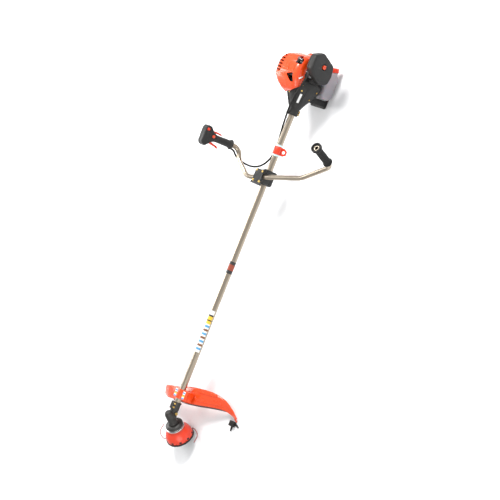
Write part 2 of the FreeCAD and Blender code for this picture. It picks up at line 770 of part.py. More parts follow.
def handle_half(side):
    shell = handle_shell()
    shell = shell.cut(Part.makeCylinder(BAR_R, BAR_IN_HANDLE + TINY, Vector()))
    shell = shell.cut(lever_slot(11.5, 60, 48, PIVOT_Z + 9)).cut(lever_slot(-60, -11.5, 52, PIVOT_Z + 8))
    reach = HANDLE_DEPTH - 3
    for x in (TRIGGER_PIVOT_X, LOCKOUT_PIVOT_X):
        shell = shell.cut(Part.makeCylinder(PIN_R, 2 * reach, Vector(x, -reach, PIVOT_Z), Y_AXIS))
    shell = shell.cut(stop_recess(0.5))
    x, z = START_AT
    shell = shell.cut(Part.makeCylinder(7 + GAP, 9, Vector(x, HANDLE_DEPTH - 8, z), Y_AXIS))
    half = shell.common(box(-90, 90, 0, 60, -5, 200) if side > 0 else box(-90, 90, -60, 0, -5, 200))
    half = on_handle(half)
    half = bored(half, handle_screw_list())
    return half


def handle_pin_list():
    """Hinge pins of the trigger and the lockout, held in both halves."""
    reach = HANDLE_DEPTH - 3
    pins = []
    for x in (TRIGGER_PIVOT_X, LOCKOUT_PIVOT_X):
        pins.append(on_handle(Part.makeCylinder(PIN_R, 2 * reach, Vector(x, -reach, PIVOT_Z), Y_AXIS)))
    return pins


def handle_screw_list():
    screws = []
    for x, z in ((31, 146), (-6, 149), (0, 127)):
        tip = handle_point(x, -HANDLE_DEPTH + 8, z)
        screws.append(cap_screw(tip, HANDLE_SIDE, 2 * HANDLE_DEPTH - 13, 2.0))
    return screws


def lever(outline, pivot_x):
    half = LEVER_WIDTH / 2
    plate = polygon([Vector(x, -half, z) for x, z in outline]).extrude(Vector(0, 2 * half, 0))
    hub = Part.makeCylinder(5, 2 * half, Vector(pivot_x, -half, PIVOT_Z), Y_AXIS)
    blade = softened(plate, 1.5, along(Y_AXIS)).fuse(hub)
    bore = Part.makeCylinder(PIN_R + RUN, 2 * half + 2, Vector(pivot_x, -half - 1, PIVOT_Z), Y_AXIS)
    return on_handle(blade.cut(bore))


def throttle_trigger():
    x = TRIGGER_PIVOT_X
    outline = [(x - 4, PIVOT_Z + 2), (x + 5, PIVOT_Z + 3), (x + 14, 112), (x + 17, 98), (x + 19, 80),
               (x + 24, 66), (x + 19, 62), (x + 12, 72), (x + 9, 88), (x + 5, 102), (x - 3, 110)]
    return lever(outline, x)


def throttle_lockout():
    x = LOCKOUT_PIVOT_X
    outline = [(x + 4, PIVOT_Z + 1), (x - 4, PIVOT_Z + 3), (x - 11, 112), (x - 12, 92), (x - 10, 70),
               (x - 5, 62), (x - 2, 64), (x - 4, 84), (x - 2, 104)]
    return lever(list(reversed(outline)), x)


def stop_switch():
    x, z = STOP_AT
    y0 = HANDLE_DEPTH - 5
    pad = box(x - 6, x + 6, y0, HANDLE_DEPTH + 2.5, z - 9 + SWITCH_TRAVEL + 1, z + 8)
    pad = softened(pad, 3.5, along(Y_AXIS))
    return on_handle(pad)


def start_button():
    x, z = START_AT
    pad = Part.makeCylinder(7, 5.5, Vector(x, HANDLE_DEPTH - 8 + SWITCH_TRAVEL + 0.5, z), Y_AXIS)
    return on_handle(pad)


CABLE_POINTS = [
    handle_point(17, 5, 0), handle_point(17, 5, -20), Vector(399, -190, 44), Vector(411, -162, 20),
    Vector(417, -122, 10), Vector(411, -86, 4), Vector(394, -54, 1), Vector(366, -33, -3),
    Vector(338, -25.5, -8), Vector(311, -23.5, -10), Vector(280, -22, -7), Vector(240, -19.5, 1),
    Vector(200, -16.5, 10.5), Vector(165, -9, 20), Vector(135, -2, 31), Vector(104, 9, 40),
    Vector(75, 22, 51.5), Vector(50, 38.5, 62), Vector(25, 54, 66), Vector(4, 60, 68),
    Vector(-38, 70, 65), Vector(-51, 72, 59),
]


def throttle_cable():
    return cord("throttle_cable", CABLE_POINTS, CABLE_R)


# ---- harness lug ----
LUG_OUT = Vector(0, math.cos(math.radians(LUG_TILT)), math.sin(math.radians(LUG_TILT)))
LUG_NORMAL = X_AXIS.cross(LUG_OUT)


def lug_sleeve():
    return ring_x(LUG_X - 26, LUG_X + 26, TUBE_R + SLEEVE_WALL, TUBE_R)


def lug_screw_list():
    tip = Vector(LUG_X, 0, 0) - LUG_NORMAL * 25 - LUG_OUT * 6
    return [cap_screw(tip, LUG_OUT, 12, 2.5)]


def harness_lug():
    """Clamp band with a flat eye on one side and a pinch screw on the other."""
    half = LUG_LENGTH / 2
    outer = TUBE_R + SLEEVE_WALL + 3
    band = rod_x(LUG_X - half, LUG_X + half, outer)
    outline = [(-half, 0), (half, 0), (half, LUG_TIP - 14), (9, LUG_TIP), (-9, LUG_TIP), (-half, LUG_TIP - 14)]
    centre = Vector(LUG_X, 0, 0) - LUG_NORMAL * (LUG_PLATE / 2)
    plate = polygon([centre + X_AXIS * x + LUG_OUT * r for x, r in outline]).extrude(LUG_NORMAL * LUG_PLATE)
    outline = [(-9, 0), (9, 0), (9, -31), (-9, -31)]
    centre = Vector(LUG_X, 0, 0) - LUG_OUT * 6
    ears = polygon([centre + X_AXIS * x + LUG_NORMAL * r for x, r in outline]).extrude(LUG_OUT * 12)
    lug = band.fuse(plate).fuse(ears)
    lug = lug.cut(rod_x(LUG_X - 40, LUG_X + 40, TUBE_R + SLEEVE_WALL))
    eye = Vector(LUG_X, 0, 0) + LUG_OUT * LUG_HOLE_OUT
    lug = lug.cut(rod(eye - LUG_NORMAL * 20, eye + LUG_NORMAL * 20, LUG_HOLE_R))
    centre = Vector(LUG_X - 30, 0, 0) - LUG_OUT * 0.8
    slit = polygon([centre + LUG_NORMAL * r + X_AXIS * x for x, r in ((0, -5), (60, -5), (60, -40), (0, -40))])
    return bored(lug.cut(slit.extrude(LUG_OUT * 1.6)), lug_screw_list())


# ---- clutch and engine ----
def clutch_drum():
    start, end, radius = DRUM
    boss_end, boss_r = DRUM_BOSS
    inner = radius - DRUM_WALL
    outline = [(start, radius), (start, inner), (end - 3, inner), (end - 3, SHAFT_R), (boss_end, SHAFT_R),
               (boss_end, boss_r), (end, boss_r), (end, radius)]
    return turned_x(outline)


def clutch_hub():
    """Hub with two weighted shoes, drawn in by a spring when the engine idles."""
    start, end, radius = DRUM
    outer = radius - DRUM_WALL - 1.2
    hub = ring_x(FLYWHEEL[1], end - 5, 12, JOURNAL_R)
    shoes = ring_x(start + 1.5, end - 5, outer, 14)
    gap = box(start, end, -3, 3, -60, 60)
    link = box(start + 4, end - 8, -16, 16, -2.5, 2.5)
    link = link.cut(rod_x(start, end, JOURNAL_R))
    return shoes.cut(gap).fuse(hub).fuse(link)


HOUSING_OUTER = [(-13, 74), (-9, 78), (6, 78), (20, 75), (36, 68), (50, 60), (66, 50), (82, 40), (98, 32),
                 (110, 27), (113, COLLAR_R), (HOUSING_END, COLLAR_R)]


def clutch_housing():
    boss_r = DRUM_BOSS[1] + 6
    web = TUBE_START - HOUSING_WALL
    outline = [*HOUSING_OUTER, (HOUSING_END, TUBE_R), (TUBE_START, TUBE_R), (TUBE_START, DRUM_BOSS[1] + RUN),
               (DRUM[1] + 6, DRUM_BOSS[1] + RUN), (DRUM[1] + 6, boss_r), (web, boss_r), (web, 37),
               (66, 46 - HOUSING_WALL / 2), (50, 60 - HOUSING_WALL), (20, 71), (8, 68), (-13, 68)]
    housing = turned_x(outline)
    ear = box(113, 137, -10, 10, -COLLAR_R - 8, 6 - COLLAR_R)
    housing = housing.fuse(softened(ear, 3, along(Y_AXIS))).cut(rod_x(TUBE_START, 160, TUBE_R))
    housing = housing.cut(box(108, 160, -1, 1, -60, 0))
    for turn in (-90, -45, 0, 45, 90):
        rib = box(22, 104, -1.5, 1.5, 20, 78)
        rib.rotate(Vector(), X_AXIS, turn + 22)
        limit = turned_x([(22, 30), (22, 77), (50, 63.5), (104, 32), (104, 24)])
        housing = housing.fuse(rib.common(limit).cut(turned_x([(0, 0), *HOUSING_OUTER[3:-2], (108, 0)])))
    return bored(housing, engine_screw_list())


def engine_screw_list():
    screws = []
    for turn in (45, 135, 225, 315):
        way = Vector(0, math.cos(math.radians(turn)), math.sin(math.radians(turn)))
        screws.append(cap_screw(Vector(-13, 0, 0) + way * 73, X_AXIS, 20, 2.5))
    for x in (119, 131):
        screws.append(cap_screw(Vector(x, -9, -COLLAR_R - 3), Y_AXIS, 17, 2.5))
    return screws


def crankcase():
    rear, front, bottom, top = CASE
    case = box(rear, front, -CASE_HALF, CASE_HALF, bottom, top)
    case = softened(case, 12, along(X_AXIS))
    rim = ring_x(front - TINY, -13, 76, 20).cut(box(-20, 0, -90, 90, top, 90))
    room = rod_x(-72, -28, WEB_R + 4)
    bore = Part.makeCylinder(BORE_R, 60, Vector(CYL_X, 0, 0))
    case = case.fuse(rim).cut(room).cut(bore)
    return case.cut(rod_x(rear - 5, 5, JOURNAL_R + RUN))


def crankshaft():
    """Two round webs, the crank pin between them, and a journal at each end."""
    throw = STROKE / 2 - 1
    webs = [rod_x(-66, -56, WEB_R), rod_x(-44, -34, WEB_R)]
    pin = rod_x(-60, -40, 5, 0, throw)
    journals = [rod_x(STARTER[0] + 14, -60, JOURNAL_R), rod_x(-40, DRUM[1] - 6, JOURNAL_R)]
    return fused([*webs, pin, *journals])


def flywheel():
    start, end, radius = FLYWHEEL
    disc_part = ring_x(start, start + 9, radius, JOURNAL_R).fuse(ring_x(start, end, 20, JOURNAL_R))
    for index in range(14):
        blade = box(start + 8, end, -1.2, 1.2, 24, radius)
        blade.rotate(Vector(), X_AXIS, 360 * index / 14)
        disc_part = disc_part.fuse(blade)
    return disc_part


def cylinder():
    low = CASE[3]
    fins = [Part.makeCylinder(BORE_R + 5, CROWN_Z + 10 - low, Vector(CYL_X, 0, low))]
    step = (CROWN_Z + 9 - low - 8) / (FIN_COUNT - 1)
    for index in range(FIN_COUNT):
        z = low + 4 + step * index
        fin = box(CYL_X - FIN_HALF, CYL_X + FIN_HALF, -FIN_HALF, FIN_HALF, z, z + 2.2)
        fins.append(softened(fin, 12, along(Z_AXIS)))
    fins.append(box(CYL_X - 26, CYL_X + 26, -27, 27, low, low + 5))
    port = rod(Vector(CYL_X, -48, 58), Vector(CYL_X, 0, 58), 12)
    inlet = rod(Vector(CYL_X, 0, 46), Vector(CYL_X, 46.5, 46), 11)
    body = fused([*fins, port, inlet])
    body = body.cut(Part.makeCylinder(BORE_R, CROWN_Z + 4 - low + 1, Vector(CYL_X, 0, low - 1)))
    body = body.cut(rod(Vector(CYL_X, -60, 58), Vector(CYL_X, -5, 58), 8))
    body = body.cut(rod(Vector(CYL_X, 5, 46), Vector(CYL_X, 60, 46), 7))
    return body.cut(plug_hull()).cut(rod(PLUG_FOOT + PLUG_OUT * 12, PLUG_FOOT + PLUG_OUT * 60, 9.5))


def piston():
    top = CROWN_Z
    crown = Part.makeCylinder(BORE_R - 2 * RUN, 24, Vector(CYL_X, 0, top - 24))
    crown = crown.cut(Part.makeCylinder(BORE_R - 3, 19, Vector(CYL_X, 0, top - 25)))
    bosses = box(CYL_X - BORE_R + 2, CYL_X + BORE_R - 2, -6, 6, top - 16, top - 5)
    rod_stub = box(CYL_X - 4, CYL_X + 4, -7, 7, top - 34, top - 10)
    return fused([crown, bosses.cut(box(CYL_X - 6, CYL_X + 6, -9, 9, 0, top - 4)), rod_stub,
                  rod_x(CYL_X - 15, CYL_X + 15, 4, 0, top - 11)])


PLUG_FOOT = Vector(CYL_X - 6, 4, CROWN_Z + 8)
PLUG_TOP = Vector(CYL_X - 34, 26, CROWN_Z + 22)
PLUG_OUT = (PLUG_TOP - PLUG_FOOT).normalize()
PLUG_BOOT_R = 7.5


def plug_hull():
    return rod(PLUG_FOOT, PLUG_FOOT + PLUG_OUT * 12, 6)


def spark_plug():
    """Plug with its rubber boot pushed on."""
    boot = rod(PLUG_FOOT + PLUG_OUT * 20, PLUG_TOP + PLUG_OUT * 6, PLUG_BOOT_R)
    nut = rod(PLUG_FOOT + PLUG_OUT * 12, PLUG_FOOT + PLUG_OUT * 20 + PLUG_OUT * TINY, 8.5)
    return plug_hull().fuse(nut).fuse(boot)


def muffler():
    shell = box(-90, -16, -92, -49, 28, 86)
    shell = softened(shell, 7, straight)
    pipe = rod(Vector(-26, -76, 32), Vector(-26, -76, 20), 7)
    return shell.fuse(pipe).cut(rod(Vector(-26, -76, 34), Vector(-26, -76, 10), 5))


def cover_body(inset):
    wires = []
    last = COVER_STEPS - 1
    for index, (x, right, left, top, radius) in enumerate(eased(COVER_STATIONS, COVER_STEPS)):
        shift = inset if index == 0 else (-inset if index == last else 0)
        wires.append(rounded_wire(x + shift, right + inset, left - inset, -40, top - inset,
                                  radius - inset * 0.8))
    return Part.makeLoft(wires, True, True)


def half_space(point, normal, size=600.0):
    """A large block on the far side of the plane, in the direction of the normal."""
    block = Part.makeBox(size, size, size, Vector(-size / 2, -size / 2, 0))
    block.Placement = Placement(point, Rotation(Z_AXIS, normal))
    return block


def cylinder_cover():
    shell = cover_body(0).cut(cover_body(COVER_WALL))
    front_cut = half_space(Vector(-16, 50, 8), Vector(0.76, 0.477, -0.442))
    shell = shell.cut(front_cut).cut(box(-200, 100, -150, 100, -60, 6))
    shell = shell.cut(turned_x([(-30, 0), (-30, 79), (10, 79.5), (24, 78.5), (60, 62), (60, 0)]))
    shell = shell.cut(box(-78, -30, 40, 60, 12, 66))
    for index in range(6):
        x = -96 + index * 14
        shell = shell.cut(box(x, x + 7, -90, -58, 86, 130))
    for corners in (PLUG_OPENING, FIN_WINDOW):
        opening = polygon([Vector(x, y, 130) for x, y in corners]).extrude(Vector(0, 0, -50))
        shell = shell.cut(softened(opening, 4, along(Z_AXIS)))
    shell = shell.cut(rod(PLUG_FOOT, PLUG_TOP + PLUG_OUT * 30, PLUG_BOOT_R + 2))
    shell = shell.cut(rod_x(-170, STARTER[1] + 1, STARTER[2] + 1))
    return max(shell.Solids, key=lambda solid: solid.Volume)


def starter_housing():
    rear, front, radius = STARTER
    outer = turned_x([(front, 0), (front, radius), (rear + 32, radius), (rear + 22, radius - 8),
                      (rear + 12, radius - 24), (rear + 3, 30), (rear, 27), (rear, 0)])
    inner = turned_x([(front + 1, 0), (front + 1, radius - 4), (rear + 33, radius - 4), (rear + 25, radius - 11),
                      (rear + 14, radius - 28), (rear + 4, 25), (rear + 4, 0)])
    shell = outer.cut(inner)
    for index in range(10):
        slot = box(rear - 5, rear + 8, -2, 2, 12, 24)
        slot.rotate(Vector(), X_AXIS, 36 * index)
        shell = shell.cut(slot)
    return shell.cut(rod(ROPE_START, ROPE_START + ROPE_WAY * 60, ROPE_R + 1.5))


ROPE_R = 1.8
ROPE_WAY = Vector(0, -0.94, -0.34).normalize()
ROPE_START = Vector(-122, -20, -26)
ROPE_EXIT = 46.0
STARTER_GRIP = 46.0


def starter_rope():
    return rod(ROPE_START, ROPE_START + ROPE_WAY * (ROPE_EXIT + 6), ROPE_R)


def starter_grip():
    centre = ROPE_START + ROPE_WAY * ROPE_EXIT
    bar = box(-STARTER_GRIP / 2, STARTER_GRIP / 2, -8, 8, 0, 15)
    bar = softened(bar, 5, straight)
    grip = placed(bar, centre, X_AXIS.negative(), ROPE_WAY)
    return grip.cut(rod(centre - ROPE_WAY * 2, centre + ROPE_WAY * 6, ROPE_R))


def carburetor():
    body = box(-70, -32, 46.5, 74, 28, 54)
    body = softened(body, 4, straight)
    bowl = Part.makeCylinder(11, 12, Vector(-51, 60, 17))
    stub = rod(Vector(CYL_X, 73, 41), Vector(CYL_X, FILTER_Y[0], 41), 13)
    arm = box(-60, -42, 66, 78, 52, 55)
    return fused([body, bowl, stub, arm])


def filter_outline(y0, y1, inset):
    x, z = FILTER_MID
    size = 1 - inset / 68.0
    face = polygon([Vector(x + a * size, y0, z + b * size) for a, b in FILTER_OUTLINE])
    return softened(face.extrude(Vector(0, y1 - y0, 0)), FILTER_CORNER * size, along(Y_AXIS))


def about_knob(y0, y1, radius):
    x, z = FILTER_AT
    return rod(Vector(x, y0, z), Vector(x, y1, z), radius)


def air_filter_box():
    back, joint, face = FILTER_Y
    plate = filter_outline(back, joint, 1).cut(filter_outline(back + 3, joint + 1, 5))
    post = about_knob(back, face - 8, 5)
    return plate.fuse(post).cut(rod(Vector(CYL_X, back - 1, 41), Vector(CYL_X, back + 5, 41), 8))


def air_filter_cover():
    back, joint, face = FILTER_Y
    outer = filter_outline(joint, face, 0)
    outer = outer.makeFillet(9, [edge for edge in outer.Edges if abs(edge.CenterOfMass.y - face) < 0.1])
    shell = outer.cut(filter_outline(joint - 1, face - 4, 6))
    shell = shell.cut(about_knob(face - 8, face + 1, 14))
    seat = about_knob(face - 11, face - 4 + TINY, 18).cut(about_knob(face - 8, face, 14))
    seat = seat.cut(about_knob(face - 12, face - 7, 5 + RUN))
    return shell.fuse(seat)


def filter_knob():
    back, joint, face = FILTER_Y
    x, z = FILTER_AT
    knob = about_knob(face - 7.6, face + 2, KNOB_TURN_R)
    for index in range(6):
        turn = math.pi * index / 3
        at = Vector(x + 12 * math.cos(turn), face - 9, z + 12 * math.sin(turn))
        knob = knob.cut(rod(at, at + Y_AXIS * 20, 3.6))
    bar = box(x - 1.6, x + 1.6, face - 1.5, face + 4, z - 7, z + 7)
    return knob.cut(bar)


def choke_lever():
    y = FILTER_Y[0] - 6.5
    hub = rod(Vector(-72.5, y, 46), Vector(-72.5, y + 5, 46), 6)
    arm = box(-96, -72, y, y + 4, 44, 49).fuse(box(-100, -94, y - 6, y + 4, 42, 51))
    return fused([hub, arm])


def housing_room(spare):
    """The space that the clutch housing and its flange take above the tank."""
    r = HOUSING_OUTER[1][1] + spare
    return turned_x([(-14 - spare, 0), (-14 - spare, r), (12, r), (30, r - 5), (42, r - 12), (42, 0)])


def fuel_tank():
    rear, front, right, left = TANK
    low, high = TANK_Z
    outer = softened(box(rear, front, right, left, low, high), TANK_CORNER, along(Y_AXIS))
    outer = softened(outer, 12, across_y)
    wall = TANK_WALL
    inner = softened(box(rear + wall, front - wall, right + wall, left - wall, low + wall, high - wall),
                     TANK_CORNER - wall, along(Y_AXIS))
    inner = softened(inner, 10, across_y)
    neck = rod(NECK_AT - NECK_WAY * 34, NECK_AT, CAP_R - 3)
    hollow = inner.fuse(rod(NECK_AT - NECK_WAY * 36, NECK_AT + NECK_WAY * 2, CAP_R - 6))
    return outer.fuse(neck).cut(housing_room(1.0)).cut(hollow.cut(housing_room(1.0 + wall)))


NECK_WAY = Vector(-0.96, 0, 0.27).normalize()
NECK_AT = Vector(TANK[0] - 6, TANK[3] - 18, -98)


def fuel_cap():
    outline = [(0, 0), (CAP_R, 0), (CAP_R, CAP_LENGTH - 7), (CAP_R - 2, CAP_LENGTH - 5), (0, CAP_LENGTH - 5)]
    cap = turned_z(outline)
    for index in range(18):
        turn = 2 * math.pi * index / 18
        at = Vector((CAP_R + 0.6) * math.cos(turn), (CAP_R + 0.6) * math.sin(turn), -1)
        cap = cap.cut(Part.makeCylinder(1.4, CAP_LENGTH - 7, at))
    return placed(cap, NECK_AT + NECK_WAY * GAP, Y_AXIS, NECK_WAY)


def tank_stand():
    """Foot plate and two legs that carry the engine off the ground."""
    rear, front, half = FOOT
    plate = box(rear, front, -half, half, FLOOR, FLOOR + FOOT_PLATE)
    plate = softened(plate, 10, along(Z_AXIS))
    plate = plate.cut(softened(box(4, 38, -half + 14, half - 14, FLOOR - 1, FLOOR + 9), 6, along(Z_AXIS)))
    legs = []
    for side in (-1, 1):
        y_top = side * 40
        y_low = side * (half - 9)
        wires = []
        for x, y, z in ((46, y_top, -30), (front - 24, y_low, FLOOR + 2)):
            outline = [(-11, -4), (15, -4), (15, 4), (-11, 4), (-11, -4)]
            wires.append(Part.makePolygon([Vector(x + a, y + b, z) for a, b in outline]))
        legs.append(Part.makeLoft(wires, True, True))
    stand = fused([plate, *legs])
    return stand.cut(turned_x([(-13, 0), *HOUSING_OUTER, (HOUSING_END, 0)]))


# ---- assembly ----
def fasteners():
    """Every screw of the machine, and the hinge pins of the throttle handle."""
    screws = (gearbox_screw_list() + guard_screw_list() + clamp_screw_list() + handle_screw_list()
              + lug_screw_list() + engine_screw_list())
    return Part.makeCompound([screw_solid(screw) for screw in screws] + handle_pin_list())


nodes["shaft_tube"] = shaft_tube()
nodes["shaft_bushings"] = shaft_bushings()
nodes["drive_shaft"] = drive_shaft()
nodes["gearbox_housing"] = gearbox_housing()
nodes["gearbox_bearings"] = gearbox_bearings()
nodes["bevel_pinion"] = bevel_pinion()
nodes["bevel_gear"] = bevel_gear()
nodes["output_spindle"] = output_spindle()
nodes["dust_cup"] = dust_cup()
nodes["drive_disc"] = drive_disc()
nodes["support_flange"] = disc(FLANGE)
nodes["head_housing"] = head_housing()
nodes["head_base"] = head_base()
nodes["line_spool"] = line_spool()
nodes["wound_line"] = wound_line()
nodes["bump_knob"] = bump_knob()
nodes["feed_spring"] = feed_spring()
nodes["line_eyelets"] = line_eyelets()
nodes["trimmer_line_a"] = trimmer_line("trimmer_line_a", 1)
nodes["trimmer_line_b"] = trimmer_line("trimmer_line_b", -1)
nodes["guard"] = guard()
nodes["guard_skirt"] = guard_skirt()
nodes["line_cutter_blade"] = line_cutter_blade()
nodes["guard_bracket"] = guard_bracket()
nodes["handlebar"] = handlebar()
nodes["clamp_middle"] = clamp_middle()
nodes["clamp_caps"] = clamp_caps()
nodes["left_grip"] = left_grip()
nodes["throttle_handle_left"] = handle_half(1)
nodes["throttle_handle_right"] = handle_half(-1)
nodes["throttle_trigger"] = throttle_trigger()
nodes["throttle_lockout"] = throttle_lockout()
nodes["stop_switch"] = stop_switch()
nodes["start_throttle_button"] = start_button()
nodes["throttle_cable"] = throttle_cable()
nodes["harness_lug"] = harness_lug()
nodes["lug_sleeve"] = lug_sleeve()
nodes["fasteners"] = fasteners()
nodes["clutch_housing"] = clutch_housing()
nodes["clutch_drum"] = clutch_drum()
nodes["clutch_hub"] = clutch_hub()
nodes["flywheel"] = flywheel()
nodes["crankcase"] = crankcase()
nodes["crankshaft"] = crankshaft()
nodes["cylinder"] = cylinder()
nodes["piston"] = piston()
nodes["spark_plug"] = spark_plug()
nodes["muffler"] = muffler()
nodes["cylinder_cover"] = cylinder_cover()
nodes["starter_housing"] = starter_housing()
nodes["starter_rope"] = starter_rope()
nodes["starter_grip"] = starter_grip()
nodes["carburetor"] = carburetor()
nodes["choke_lever"] = choke_lever()
nodes["air_filter_box"] = air_filter_box()
nodes["air_filter_cover"] = air_filter_cover()
nodes["filter_knob"] = filter_knob()
nodes["fuel_tank"] = fuel_tank()
nodes["fuel_cap"] = fuel_cap()
nodes["tank_stand"] = tank_stand()

os.makedirs("parts", exist_ok=True)
for name, shape in nodes.items():
    lifted = shape.copy()
    lifted.translate(Vector(0, 0, SHAFT_Z))
    lifted.exportStep(f"parts/{name}.step")
print(len(nodes), "nodes")
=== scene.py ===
import json
import math

import bpy
from mathutils import Matrix, Vector


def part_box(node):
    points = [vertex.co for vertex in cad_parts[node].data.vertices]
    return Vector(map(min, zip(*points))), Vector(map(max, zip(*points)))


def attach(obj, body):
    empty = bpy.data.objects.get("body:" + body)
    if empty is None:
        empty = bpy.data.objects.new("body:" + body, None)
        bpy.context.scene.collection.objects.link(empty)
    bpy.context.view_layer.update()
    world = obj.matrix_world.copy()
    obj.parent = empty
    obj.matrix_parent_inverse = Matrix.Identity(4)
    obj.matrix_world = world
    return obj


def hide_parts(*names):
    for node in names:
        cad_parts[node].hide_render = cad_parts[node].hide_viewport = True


# Two-handed petrol string trimmer: +X towards the cutting head, +Y to the operator's left, +Z up.

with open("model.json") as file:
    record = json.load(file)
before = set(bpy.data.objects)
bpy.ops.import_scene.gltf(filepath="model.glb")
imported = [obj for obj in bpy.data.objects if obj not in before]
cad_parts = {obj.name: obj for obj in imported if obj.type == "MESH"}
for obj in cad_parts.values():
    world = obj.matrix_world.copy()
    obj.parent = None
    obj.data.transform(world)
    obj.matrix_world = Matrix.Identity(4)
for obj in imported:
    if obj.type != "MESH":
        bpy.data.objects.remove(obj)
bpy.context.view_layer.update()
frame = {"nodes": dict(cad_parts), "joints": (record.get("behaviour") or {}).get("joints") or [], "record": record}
record = frame["record"]
joints = {joint["name"]: joint for joint in frame["joints"]}
SHAFT_Z = joints["drive_shaft_spin"]["pos_m"][2]
TUBE_R = 0.014
MACHINE = "machine"


# ---- camera, floor and lights ----
def add_camera():
    across = Vector((0, 0.71, 0.70)).normalized()
    low = Vector((0, 0.70, -0.71)).normalized()
    ahead = Vector((1, 0, 0))
    turn = math.radians(21.68)
    right = low * math.cos(turn) - ahead * math.sin(turn)
    up = -ahead * math.cos(turn) - low * math.sin(turn)
    aim = Vector((0.762, 0, SHAFT_Z)) + low * 0.049
    distance = 9.0
    width = 2.2
    data = bpy.data.cameras.new("camera")
    data.sensor_width = 36.0
    data.lens = data.sensor_width * distance / width
    data.clip_end = 60.0
    camera = bpy.data.objects.new("camera", data)
    bpy.context.scene.collection.objects.link(camera)
    place = Matrix((right, up, across)).transposed().to_4x4()
    place.translation = aim + across * distance
    camera.matrix_world = place
    bpy.context.scene.camera = camera


def add_light(name, at, aim, size, power, colour=(1, 1, 1)):
    data = bpy.data.lights.new(name, "AREA")
    data.shape = "DISK"
    data.size = size
    data.energy = power
    data.color = colour
    lamp = bpy.data.objects.new(name, data)
    bpy.context.scene.collection.objects.link(lamp)
    lamp.location = at
    lamp.rotation_euler = (Vector(aim) - Vector(at)).to_track_quat("-Z", "Y").to_euler()


def add_stage():
    world = bpy.data.worlds.new("studio")
    world.use_nodes = True
    world.node_tree.nodes["Background"].inputs[0].default_value = (0.95, 0.97, 1.0, 1)
    world.node_tree.nodes["Background"].inputs[1].default_value = 0.72
    bpy.context.scene.world = world
    bpy.context.scene.view_settings.view_transform = "Standard"
    add_light("key", (-1.6, -0.6, 3.2), (0.7, 0, 0.1), 1.6, 170)
    add_light("fill", (2.8, 2.4, 1.8), (0.8, 0, 0.1), 2.4, 45, (1.0, 0.98, 0.95))
    add_light("back", (0.8, -2.8, 1.6), (0.8, 0, 0.1), 1.6, 50)
    deselect()
    bpy.ops.mesh.primitive_plane_add(size=40, location=(0, 0, 0))
    floor = bpy.context.object
    floor.name = "floor"
    paint = bpy.data.materials.new("pale_floor")
    paint.use_nodes = True
    shader = paint.node_tree.nodes["Principled BSDF"]
    shader.inputs["Base Color"].default_value = (0.86, 0.86, 0.86, 1)
    shader.inputs["Roughness"].default_value = 0.85
    floor.data.materials.append(paint)


def deselect():
    for item in bpy.context.selected_objects:
        item.select_set(False)


add_camera()
add_stage()


# ---- cords ----
def curve_piece(name, points, diameter):
    data = bpy.data.curves.new(name, "CURVE")
    data.dimensions = "3D"
    # the thickness is each point's radius, so that the curve's box is its true size
    data.bevel_depth = 1.0
    data.bevel_resolution = 5
    data.resolution_u = 16
    data.use_fill_caps = True
    spline = data.splines.new("NURBS")
    spline.points.add(len(points) - 1)
    for spot, place in zip(spline.points, points):
        spot.co = (*place, 1.0)
        spot.radius = diameter / 2
    spline.order_u = 3
    spline.use_endpoint_u = True
    piece = bpy.data.objects.new(name, data)
    bpy.context.scene.collection.objects.link(piece)
    return piece


HEAD_AT = Vector(joints["trimmer_head_spin"]["pos_m"])
HEAD_DOWN = Vector(joints["trimmer_head_spin"]["axis"]).normalized()
HEAD_FORWARD = Vector((-HEAD_DOWN.z, 0, HEAD_DOWN.x))
LINE_PLANE = 0.095
LINE_DIAMETER = 0.0035
LINE_ROUTE = [(46, -28.3), (58, -35.7), (52, -63), (38, -91), (16, -106), (-6, -112)]


def head_point(forward, left, down):
    return HEAD_AT + HEAD_FORWARD * forward + Vector((0, 1, 0)) * left + HEAD_DOWN * down


def trimmer_line(name, sign):
    points = [head_point(sign * a / 1000, sign * b / 1000, LINE_PLANE) for a, b in LINE_ROUTE]
    line = curve_piece(name + "_nylon", points, LINE_DIAMETER)
    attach(line, "head")
    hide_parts(name)
    return line


lines = [trimmer_line("trimmer_line_a", 1), trimmer_line("trimmer_line_b", -1)]

# millimetres, from the foot of the throttle handle to the carburettor
CABLE_ROUTE = [
    (376.1, -188.6, 226.0), (375.6, -184.6, 206.4), (399.0, -190.0, 177.4), (411.0, -162.0, 153.4),
    (417.0, -122.0, 143.4), (411.0, -86.0, 137.4), (394.0, -54.0, 134.4), (366.0, -33.0, 130.4),
    (338.0, -25.5, 125.4), (311.0, -23.5, 123.4), (280.0, -22.0, 126.4), (240.0, -19.5, 134.4),
    (200.0, -16.5, 143.9), (165.0, -9.0, 153.4), (135.0, -2.0, 164.4), (104.0, 9.0, 173.4),
    (75.0, 22.0, 184.9), (50.0, 38.5, 195.4), (25.0, 54.0, 199.4), (4.0, 60.0, 201.4),
    (-38.0, 70.0, 198.4), (-51.0, 72.0, 192.4),
]
CABLE_DIAMETER = 0.0084
throttle_cable = curve_piece("throttle_cable_sleeve", [Vector(point) / 1000 for point in CABLE_ROUTE],
                             CABLE_DIAMETER)
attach(throttle_cable, MACHINE)
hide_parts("throttle_cable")


# ---- shared effects ----
def group_shell(name, inputs, outputs):
    """A node group with its named sockets, and its input and output nodes."""
    tree = bpy.data.node_groups.new(name, "ShaderNodeTree")
    for label, kind, value in inputs:
        socket = tree.interface.new_socket(label, in_out="INPUT", socket_type=kind)
        if value is not None:
            socket.default_value = value
    for label, kind in outputs:
        tree.interface.new_socket(label, in_out="OUTPUT", socket_type=kind)
    return tree, tree.nodes.new("NodeGroupInput"), tree.nodes.new("NodeGroupOutput")


